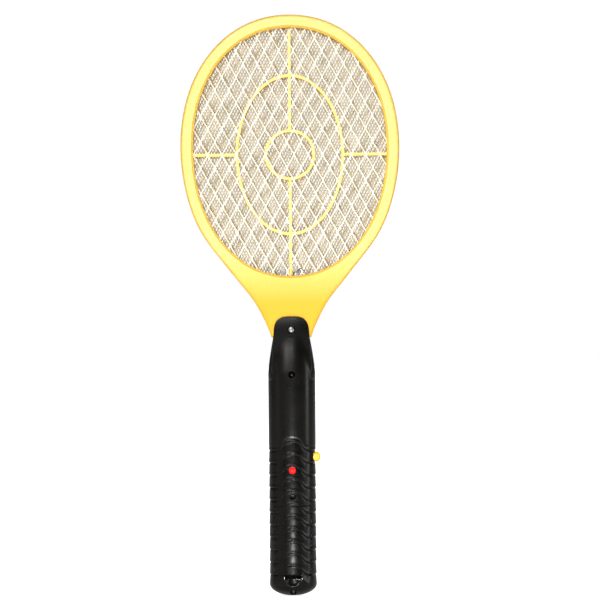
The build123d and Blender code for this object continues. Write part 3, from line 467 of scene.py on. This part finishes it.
# ---------------------------------------------------------------- expanded meshes
WINDOW_HALF_WIDTH = 0.0750
WINDOW_TOP = up(440.0)
WINDOW_BOTTOM = up(247.6)
WINDOW_CENTRE = up(347.6)
OVAL_POWER = 2.1
HIDDEN_EDGE = 0.004  # how far the sheets run on inside the frame

# A bond joins four strands: its length against the pitch, its width against a strand's, and
# how far the strands start inside it
BOND_LENGTH = 0.07
BOND_WIDTH = 1.55
BOND_INSET = 0.3
BOND_OVERLAP = 0.7
STRAND_STEP = 0.8 * MM  # the steps at which a strand is cut off by the window's edge
BROAD_SWAY, FINE_SWAY = 22.0, 130.0


def inside(x, z, growth):
    """Whether a point is inside the head's window grown by this much."""
    reach = WINDOW_TOP - WINDOW_CENTRE if z > WINDOW_CENTRE else WINDOW_CENTRE - WINDOW_BOTTOM
    across = abs(x) / (WINDOW_HALF_WIDTH + growth)
    rise = abs(z - WINDOW_CENTRE) / (reach + growth)
    return across**OVAL_POWER + rise**OVAL_POWER < 1


def sway(x, z, seed, scale, amount):
    """A smooth wander of the sheet at a point, as a vector."""
    return amount * noise.noise_vector(Vector((x * scale, seed, z * scale)))


def bar(verts, faces, start, end, width, thickness, lean):
    """A flat strand between two points, leaned about its own length."""
    along = (end - start).normalized()
    across = along.cross(Vector((0, 1, 0))).normalized()
    across = Matrix.Rotation(lean, 3, along) @ across
    through = along.cross(across)
    base = len(verts)
    for point in (start, end):
        for side, depth in ((-1, -1), (1, -1), (1, 1), (-1, 1)):
            verts.append(point + across * side * width / 2 + through * depth * thickness / 2)
    faces += [
        (base, base + 1, base + 2, base + 3),
        (base + 7, base + 6, base + 5, base + 4),
    ]
    for corner in range(4):
        after = (corner + 1) % 4
        faces.append((base + corner, base + corner + 4, base + after + 4, base + after))


def expanded_sheet(name, pitch, phase, section, depth, lean, wander, seed):
    """Expanded metal: strands that lean, joined at short bonds, inside the grown window."""
    width, thickness = section
    half_x, half_z = pitch[0] / 2, pitch[1] / 2
    bond = BOND_LENGTH * pitch[1]
    columns = int(WINDOW_HALF_WIDTH / half_x) + 3
    rows = int((WINDOW_TOP - WINDOW_BOTTOM) / half_z)
    verts, faces = [], []

    def place(x, z):
        broad = sway(x, z, seed, BROAD_SWAY, wander)
        fine = sway(x, z, seed + 9.0, FINE_SWAY, wander / 3)
        return Vector((x, depth, z)) + broad + fine

    def strand(x0, z0, x1, z1, strand_width, strand_lean):
        steps = max(4, round(abs(z1 - z0) / STRAND_STEP))
        kept = [
            step / steps
            for step in range(steps + 1)
            if inside(x0 + (x1 - x0) * step / steps, z0 + (z1 - z0) * step / steps, HIDDEN_EDGE)
        ]
        if len(kept) < 3:
            return
        first, last = kept[0], kept[-1]
        start = place(x0 + (x1 - x0) * first, z0 + (z1 - z0) * first)
        end = place(x0 + (x1 - x0) * last, z0 + (z1 - z0) * last)
        bar(verts, faces, start, end, strand_width, thickness, strand_lean)

    for column in range(-columns, columns + 1):
        for row in range(-rows, rows + 1):
            if (column + row) % 2:
                continue
            x, z = phase[0] + column * half_x, phase[1] + row * half_z
            strand(x, z - bond, x, z + bond, width * BOND_WIDTH, 0.0)
            for side in (-1, 1):
                strand(
                    x + side * width * BOND_INSET,
                    z + bond * BOND_OVERLAP,
                    x + side * (half_x - width * BOND_INSET),
                    z + half_z - bond * BOND_OVERLAP,
                    width,
                    side * lean,
                )
    mesh = bpy.data.meshes.new(name)
    mesh.from_pydata([tuple(vert) for vert in verts], [], faces)
    mesh.validate()
    return mesh


# Pitch across and up, strand width and thickness, and one bond's place, in metres; lean in radians
OUTER_PITCH = (0.0111, 0.0201)
OUTER_SECTION = (0.95 * MM, 0.32 * MM)
OUTER_LEAN = 0.5
OUTER_WANDER = 0.0003
FINE_PITCH = (0.0023, 0.0047)
FINE_SECTION = (0.74 * MM, 0.2 * MM)
FINE_LEAN = 0.25
FINE_WANDER = 0.00025
FRONT_PHASE = (-0.00245, up(351.65))
REAR_PHASE = (0.0011, up(348.0))
FINE_PHASE = (0.0, up(347.6))
outer_depth = (MESH_LOW.y + MESH_HIGH.y) / 2

front_sheet = expanded_sheet(
    "front_lattice", OUTER_PITCH, FRONT_PHASE, OUTER_SECTION,
    outer_depth, OUTER_LEAN, OUTER_WANDER, 1.0,
)
new_piece("front_lattice", front_sheet, STRAND, BODY, "mesh_aluminium", "front_mesh")
rear_sheet = expanded_sheet(
    "rear_lattice", OUTER_PITCH, REAR_PHASE, OUTER_SECTION,
    -outer_depth, -OUTER_LEAN, OUTER_WANDER, 31.0,
)
new_piece("rear_lattice", rear_sheet, STRAND, BODY, "mesh_aluminium", "rear_mesh")
fine_sheet = expanded_sheet(
    "middle_lattice", FINE_PITCH, FINE_PHASE, FINE_SECTION,
    0.0, FINE_LEAN, FINE_WANDER, 57.0,
)
new_piece("middle_lattice", fine_sheet, FINE_STRAND, BODY, "fine_mesh_aluminium", "middle_mesh")


# ---------------------------------------------------------------- spacer grids
RIB_ROUND = 0.0005
HARD_EDGE = 50  # degrees


def softened(node, name, width, segments, material, slot):
    """A node's shape with its hard edges rounded over."""
    mesh = node_copy(node)
    shape = bmesh.new()
    shape.from_mesh(mesh)
    bmesh.ops.dissolve_limit(
        shape, angle_limit=math.radians(2), verts=shape.verts, edges=shape.edges
    )
    hard = [
        edge
        for edge in shape.edges
        if len(edge.link_faces) == 2 and edge.calc_face_angle(0) > math.radians(HARD_EDGE)
    ]
    bmesh.ops.bevel(
        shape,
        geom=hard,
        offset=width,
        segments=segments,
        profile=0.5,
        affect="EDGES",
        clamp_overlap=True,
    )
    bmesh.ops.triangulate(shape, faces=[face for face in shape.faces if len(face.verts) > 4])
    shape.to_mesh(mesh)
    shape.free()
    smooth(mesh, 40)
    return new_piece(name, mesh, material, BODY, slot, node)


softened("front_spacer_grid", "front_ribs", RIB_ROUND, 3, YELLOW, "yellow_plastic")
softened("rear_spacer_grid", "rear_ribs", RIB_ROUND, 3, YELLOW, "yellow_plastic")

# ---------------------------------------------------------------- handle skin
# In millimetres, with heights above the handle's end. The shape repeats the handle in part.py and
# stays just inside it.
SKIN = 0.03  # how far the skin lies inside the CAD
AROUND = 300  # points in a ring
GRIP_HALF_WIDTH = 18.25
GRIP_HALF_DEPTH = 15.5
DOME = 9.0
GRIP_END = 140.0
SKIN_TOP = 219.0
GRIP_STEP, PLAIN_STEP, FAIRING_STEP = 0.3, 2.0, 0.8
PARTING_HALF_WIDTH = 0.2
PARTING_DEPTH = 0.18

# The taper towards the neck, and the smooth shoulder from the oval to the tongue
TAPER_START = 172.0
TAPER_WIDTH = 4.0
TAPER_POWER = 1.35
TAPER_DEPTH = 4.8
HANDLE_TOP = 199.8
FAIRING_START = 146.0
SETTLE_END = 178.0
SETTLE = 0.032
PLATE_START = 168.0
BLEND_HEIGHTS = (164.0, 180.0)
BLEND = 1.7
TONGUE_FACE = 10.3
TONGUE_CROWN = 0.9
TONGUE_HALF_WIDTH = 13.0
NOSE_START = 203.0
NOSE_LENGTH = 13.0
NOSE_DROP = 1.3
WIDENING_HEIGHTS = (180.0, 203.0)
WIDENING = (0.1, 3.0)

# The grip's grooves: their number and places, and the bell curve that each one follows
GROOVE_COUNT = 11
TOP_GROOVE = 119.4
GROOVE_PITCH = 9.59
GROOVE_RISE = 7.0
GROOVE_BELL = 12.6
GROOVE_CREST = 8.4
GROOVE_SWEEP = 7.2
FOLLOW_HEIGHTS = (10.0, 21.0, 122.0, GRIP_END)
FADE_PLACES = (10.5, 15.0)
FADE_DEPTH = 0.45

bell_t = np.linspace(0, 1, 200)
bell_x = (
    GROOVE_BELL * (1 - bell_t) ** 3
    + 3 * GROOVE_SWEEP * (1 - bell_t) ** 2 * bell_t
    + 3 * GROOVE_CREST * (1 - bell_t) * bell_t**2
)
bell_rise = GROOVE_RISE * (3 * (1 - bell_t) * bell_t**2 + bell_t**3)


def groove_height(x):
    """The top groove's height at these places across the handle."""
    rise = np.interp(np.abs(x), bell_x[::-1], bell_rise[::-1])
    return TOP_GROOVE - GROOVE_RISE + rise


# How far the surface is cut back, against the distance below a groove
LIP = np.array([
    (0.0, 0.86), (0.60, 0.80), (1.4, 0.62), (3.6, 0.46), (6.2, 0.31), (7.0, 0.22),
    (7.5, 0.10), (7.9, 0.03), (8.35, 0.0), (8.7, 0.12), (8.92, 0.45), (9.1, 0.80), (9.59, 0.86),
])


def ridge_cut(x, height):
    """How far the ridges' surface lies inside the plain oval."""
    below = groove_height(x) - height
    index = np.floor(below / GROOVE_PITCH)
    along = below - index * GROOVE_PITCH
    cut = np.interp(along, LIP[:, 0], LIP[:, 1])
    plain_above = np.interp(along, (0.0, 5.0, 6.6), (0.0, 0.05, 0.30))
    cut_above = np.where(along < 6.6, plain_above, cut)
    plain_below = np.interp(along, (0.0, 0.6, 5.5), (0.86, 0.80, 0.0))
    cut = np.where(index == -1, cut_above, cut)
    cut = np.where(index == GROOVE_COUNT - 1, plain_below, cut)
    cut = np.where((index < -1) | (index > GROOVE_COUNT - 1), 0.0, cut)
    return cut * np.interp(np.abs(x), FADE_PLACES, (1.0, FADE_DEPTH))


def fairing(x, height, half_width, half_depth):
    """The depth of the smooth shoulder where the oval runs out into the crowned tongue."""
    settle = 1 - SETTLE * np.interp(height, (FAIRING_START, SETTLE_END), (0.0, 1.0))
    oval = settle * half_depth * np.sqrt(np.clip(1 - (x / half_width) ** 2, 0, 1))
    nose = np.clip((height - NOSE_START) / NOSE_LENGTH, 0, 1)
    crown = TONGUE_FACE - TONGUE_CROWN * (x / TONGUE_HALF_WIDTH) ** 2 - NOSE_DROP * nose**2
    blend = np.interp(height, BLEND_HEIGHTS, (0.0, BLEND))
    near = np.clip(1 - np.abs(oval - crown) / (blend + 0.001), 0, 1)
    plate = np.maximum(oval, crown) + blend * near**2 / 4
    return np.where(height < PLATE_START, oval, plate)


def skin_ring(kind, value, edge):
    """One ring of the skin's points, in metres."""
    turn = (np.arange(AROUND) + 0.5) * 2 * math.pi / AROUND
    half_width, half_depth, height = GRIP_HALF_WIDTH - SKIN, GRIP_HALF_DEPTH - SKIN, value
    if kind == "dome":
        angle = math.radians(value)
        half_width *= math.sin(angle)
        half_depth *= math.sin(angle)
        height = DOME - (DOME - SKIN) * math.cos(angle)
    x = half_width * np.cos(turn)
    y = half_depth * np.sin(turn)
    level = np.full(AROUND, float(height))
    if kind == "fairing":
        rise = max(0, (height - TAPER_START) / (HANDLE_TOP - TAPER_START)) ** TAPER_POWER
        oval_width = half_width - TAPER_WIDTH * min(rise, 1.2)
        x = (oval_width + np.interp(height, WIDENING_HEIGHTS, WIDENING)) * np.cos(turn)
        y = np.sign(y) * fairing(x, height, oval_width, half_depth - TAPER_DEPTH * rise)
    if kind == "grip":
        follow = np.interp(height, FOLLOW_HEIGHTS, (0.0, 1.0, 1.0, 0.0))
        level = level + follow * (groove_height(x) - TOP_GROOVE)
        cut = ridge_cut(x, level)
        cut = np.maximum(cut, np.where(np.abs(y) < PARTING_HALF_WIDTH, PARTING_DEPTH, 0.0))
        cut = np.maximum(cut, edge(x, y, level))
        normal_x = np.cos(turn) / half_width
        normal_y = np.sin(turn) / half_depth
        length = np.hypot(normal_x, normal_y)
        x = x - cut * normal_x / length
        y = y - cut * normal_y / length
    return np.stack([x * MM, y * MM, FOOT + level * MM], axis=1)


def skin_solid(name, edge):
    """The handle's outer shape as a closed solid: dome, ridges, taper and tongue."""
    rows = [("dome", angle) for angle in np.linspace(4, 88, 22)]
    rows += [("grip", height) for height in np.arange(DOME + 0.2, GRIP_END, GRIP_STEP)]
    rows += [("grip", height) for height in np.arange(GRIP_END, FAIRING_START, PLAIN_STEP)]
    rows += [("fairing", height) for height in np.arange(FAIRING_START, SKIN_TOP, FAIRING_STEP)]
    rings = [skin_ring(kind, value, edge) for kind, value in rows]
    points = np.concatenate(rings + [np.array([[0, 0, up(SKIN)], [0, 0, rings[-1][0][2]]])])
    foot, crown = len(points) - 2, len(points) - 1
    last = (len(rings) - 1) * AROUND
    faces = []
    for ring in range(len(rings) - 1):
        low, high = ring * AROUND, (ring + 1) * AROUND
        for step in range(AROUND):
            after = (step + 1) % AROUND
            faces.append((low + step, low + after, high + after, high + step))
    for step in range(AROUND):
        after = (step + 1) % AROUND
        faces.append((foot, after, step))
        faces.append((crown, last + step, last + after))
    mesh = bpy.data.meshes.new(name)
    mesh.from_pydata(points.tolist(), [], faces)
    solid = bpy.data.objects.new(name, mesh)
    bpy.context.scene.collection.objects.link(solid)
    return solid


def carved(node, name, solid, body):
    """A handle node cut back to the skin's shape."""
    mesh = node_copy(node)
    piece = bpy.data.objects.new(name, mesh)
    bpy.context.scene.collection.objects.link(piece)
    cut = piece.modifiers.new("cut", "BOOLEAN")
    cut.operation = "INTERSECT"
    cut.solver = "MANIFOLD"
    cut.object = solid
    bpy.context.view_layer.update()
    depsgraph = bpy.context.evaluated_depsgraph_get()
    result = bpy.data.meshes.new_from_object(piece.evaluated_get(depsgraph))
    bpy.data.objects.remove(piece)
    result.name = name
    smooth(result)
    return new_piece(name, result, BLACK, body, "black_plastic", node)


# The door's edges and the shell's edges beside them are eased: where that starts, over what
# distance and how deep
DOOR_EASE_HALF_WIDTH = 13.45
DOOR_EASE_LOW, DOOR_EASE_HIGH = 17.75, 69.55
SHELL_EASE_HALF_WIDTH = 14.85
SHELL_EASE_LOW, SHELL_EASE_HIGH = 16.5, 70.9
EASE_SIDE, EASE_END = 0.55, 0.45
EASE_DEPTH, EASE_POWER = 0.42, 1.5


def door_edge(x, y, height):
    """The door's edges, eased where they meet the shell."""
    side = np.clip((np.abs(x) - DOOR_EASE_HALF_WIDTH) / EASE_SIDE, 0, 1)
    top = np.clip((height - DOOR_EASE_HIGH) / EASE_END, 0, 1)
    bottom = np.clip((DOOR_EASE_LOW - height) / EASE_END, 0, 1)
    return EASE_DEPTH * np.maximum(side, top + bottom) ** EASE_POWER


def shell_edge(x, y, height):
    """The shell's edge round the door, eased in the same way."""
    near = np.clip((SHELL_EASE_HALF_WIDTH - np.abs(x)) / EASE_SIDE, 0, 1) * (y < 0)
    beyond = (height < SHELL_EASE_LOW) | (height > SHELL_EASE_HIGH)
    return np.where(beyond, 0.0, EASE_DEPTH * near**EASE_POWER)


shell_skin = skin_solid("shell_skin", shell_edge)
door_skin = skin_solid("door_skin", door_edge)
carved("front_handle_shell", "front_shell", shell_skin, BODY)
carved("rear_handle_shell", "rear_shell", shell_skin, BODY)
carved("battery_door", "door_panel", door_skin, "battery_door")
bpy.data.objects.remove(shell_skin)
bpy.data.objects.remove(door_skin)

# ---------------------------------------------------------------- screws
# In millimetres. Each screw's height, and how far its seat lies in front of the parting plane
SCREWS = ((206.0, 9.0), (171.6, 11.2), (77.6, 5.0), (3.6, 8.5))
SCREW_AROUND = 96
HEAD_RADIUS = 2.4
HEAD_CROWN = 1.4
HEAD_FALL = 0.9
HEAD_CURVE = 2.2
CROSS_DEPTH = 0.75
CROSS_HALF_WIDTH = 0.50
CROSS_WALL = 0.14
CROSS_REACH = 1.75
CROSS_END = 0.3
SHANK_RADIUS = 1.27
THREAD_HEIGHT = 0.12
THREAD_PITCH = 1.1
SHANK_END = 9.2
SHANK_STEP = 0.2
SCREW_TIP = (0.15, 9.5)
FIRST_SPIN = 40  # degrees; the cross of each screw is turned on by its height


def screw_rings():
    """Radius, and distance in front of the seat, down a screw's head from its crown."""
    radii = np.linspace(0.06, HEAD_RADIUS, 26)
    head = [
        (radius, HEAD_CROWN - HEAD_FALL * (radius / HEAD_RADIUS) ** HEAD_CURVE) for radius in radii
    ]
    side = [(HEAD_RADIUS, 0.3), (2.36, 0.06), (2.3, 0.0), (1.45, 0.0)]
    return head + side


def screw_mesh():
    """Four pan-head screws with cross recesses and threaded shanks."""
    verts, faces = [], []
    turn = np.arange(SCREW_AROUND) * 2 * math.pi / SCREW_AROUND
    for height, seat in SCREWS:
        spin = math.radians(FIRST_SPIN + height)
        rings = []
        for radius, front in screw_rings():
            across, along = radius * np.cos(turn - spin), radius * np.sin(turn - spin)
            slot = np.minimum(np.abs(across), np.abs(along))
            wall = np.clip((CROSS_HALF_WIDTH - slot) / CROSS_WALL, 0, 1)
            sunk = CROSS_DEPTH * wall * np.clip((CROSS_REACH - radius) / CROSS_END, 0, 1)
            sunk = sunk if front > 0.4 else 0 * sunk
            rings.append((radius + 0 * turn, -seat - front + sunk))
        for depth in np.arange(-seat + SHANK_STEP, SHANK_END, SHANK_STEP):
            helix = turn + 2 * math.pi * depth / THREAD_PITCH
            rings.append((SHANK_RADIUS + THREAD_HEIGHT * np.cos(helix), depth + 0 * turn))
        rings.append((SCREW_TIP[0] + 0 * turn, SCREW_TIP[1] + 0 * turn))
        base = len(verts)
        for radius, depth in rings:
            for step in range(SCREW_AROUND):
                verts.append((
                    radius[step] * math.cos(turn[step]) * MM,
                    depth[step] * MM,
                    up(height) + radius[step] * math.sin(turn[step]) * MM,
                ))
        for ring in range(len(rings) - 1):
            for step in range(SCREW_AROUND):
                after = (step + 1) % SCREW_AROUND
                low, high = base + ring * SCREW_AROUND, base + (ring + 1) * SCREW_AROUND
                faces.append((low + step, low + after, high + after, high + step))
        faces.append(tuple(base + step for step in reversed(range(SCREW_AROUND))))
        last = base + (len(rings) - 1) * SCREW_AROUND
        faces.append(tuple(last + step for step in range(SCREW_AROUND)))
    mesh = bpy.data.meshes.new("screws")
    mesh.from_pydata(verts, [], faces)
    smooth(mesh, 40)
    return mesh


new_piece("pan_head_screws", screw_mesh(), SCREW_STEEL, BODY, "screw_steel", "handle_screws")

# ---------------------------------------------------------------- wire end on the front mesh
WIRE_RADIUS = 0.24 * MM

curl = bpy.data.curves.new("terminal_curl", "CURVE")
curl.dimensions = "3D"
curl.bevel_depth = WIRE_RADIUS
curl.bevel_resolution = 3
curl_points = (
    (6.2, -3.2, 246.0), (6.0, -3.9, 248.2), (4.4, -4.5, 250.0), (5.0, -4.9, 252.6),
    (7.4, -4.7, 252.2), (7.6, -4.4, 249.8), (5.8, -4.5, 249.6), (6.2, -4.8, 252.8),
    (8.3, -4.6, 253.6), (9.4, -4.4, 251.6),
)
spline = curl.splines.new("NURBS")
spline.points.add(len(curl_points) - 1)
for index, (x, y, height) in enumerate(curl_points):
    spline.points[index].co = (x * MM, y * MM, up(height), 1)
spline.order_u = 3
spline.use_endpoint_u = True
curl_object = bpy.data.objects.new("terminal_curl", curl)
bpy.context.scene.collection.objects.link(curl_object)
bpy.context.view_layer.update()
curl_mesh = bpy.data.meshes.new_from_object(
    curl_object.evaluated_get(bpy.context.evaluated_depsgraph_get())
)
bpy.data.objects.remove(curl_object)
smooth(curl_mesh, 60)
new_piece("terminal_wire", curl_mesh, BLACK_WIRE, BODY, "black_wire")

# ---------------------------------------------------------------- floor
# The floor glows for the camera, so that it looks as white as the sky, and lights almost nothing
FLOOR_GLOW_LIT, FLOOR_GLOW_SEEN = 0.05, 0.85
FLOOR_GAP = 0.0002

floor_mesh = bpy.data.meshes.new("floor")
floor_shape = bmesh.new()
bmesh.ops.create_grid(floor_shape, x_segments=4, y_segments=4, size=6.0)
floor_shape.to_mesh(floor_mesh)
floor_shape.free()
floor = bpy.data.objects.new("floor", floor_mesh)
floor.location = (0, 0, FOOT - FLOOR_GAP)
bpy.context.scene.collection.objects.link(floor)
floor_finish = Finish("pale_floor")
floor_cloud = floor_finish.noise(3.0)
floor_finish.set(Base_Color=floor_finish.ramp(floor_cloud, (0.90, 0.90, 0.90), (0.92, 0.92, 0.92)))
floor_seen = floor_finish.add("ShaderNodeLightPath").outputs["Is Camera Ray"]
floor_glow = floor_finish.span(floor_seen, FLOOR_GLOW_LIT, FLOOR_GLOW_SEEN, 0.0, 1.0)
floor_finish.set(Roughness=0.8, Emission_Color=(1.0, 1.0, 1.0), Emission_Strength=floor_glow)
paint(floor, floor_finish.material)
